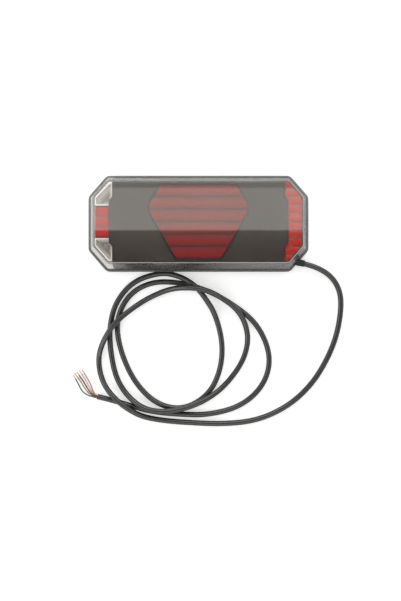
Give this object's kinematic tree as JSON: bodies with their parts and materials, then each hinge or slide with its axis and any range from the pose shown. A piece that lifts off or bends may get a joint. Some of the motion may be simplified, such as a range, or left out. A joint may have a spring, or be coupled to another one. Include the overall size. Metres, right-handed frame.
{
  "type": "trailer tail light",
  "caption": "Eight-sided sealed rear lamp for a trailer, with a clear cover over a dark mask, a ribbed red six-sided lens, red end lenses and a free cable with bare cores.",
  "frame": {"origin": "middle of the lamp's flat back, on the surface it is fixed to or lies on", "axes": "+X along the lamp towards the end with the large red lens, where the cable leaves; +Y across it towards the side away from the cable; +Z out of the front"},
  "size_m": [0.2983, 0.2734, 0.034],
  "materials": {
    "housing": "fine matt grain",
    "clear_cover": "clear, polished",
    "seal": "matt",
    "mask": "satin black",
    "red_lens": "clear red, ribbed",
    "reflector": "bright metallised",
    "board": "white solder mask",
    "led": "clear dome over yellow phosphor",
    "chip": "matt",
    "can": "satin",
    "ferrite": "matt",
    "connector": "satin",
    "brass": "turned",
    "screw": "zinc plated",
    "breather": "matt",
    "clamp": "matt",
    "cable": "satin black",
    "core_brown": "satin",
    "core_pink": "satin",
    "core_white": "satin",
    "core_cream": "satin",
    "core_grey": "satin",
    "copper": "bare stranded copper"
  },
  "bodies": {
    "root": {"board_screws": "screw", "breather_vent": "breather", "cable_clamp": "clamp", "cable_grommet": "seal", "capacitors": "can", "centre_mask": "mask", "circuit_board": "board", "clamp_screw": "screw", "cord_entry": "cable", "cord_sheath": "cable", "core_brown": "core_brown", "core_cream": "core_cream", "core_grey": "core_grey", "core_pink": "core_pink", "core_tips": "copper", "core_white": "core_white", "cover_seal": "seal", "driver_chips": "chip", "hexagon_leds": "led", "hexagon_lens": "red_lens", "hexagon_reflector": "reflector", "inner_leads": "cable", "left_end_leds": "led", "left_reflector": "reflector", "marker_leds": "led", "marker_lens": "red_lens", "mounting_inserts": "brass", "outer_cover": "clear_cover", "power_coil": "ferrite", "rear_housing": "housing", "resistors": "chip", "right_end_leds": "led", "right_end_lens": "red_lens", "right_reflector": "reflector", "terminal_block": "connector"}
  },
  "joints": []
}
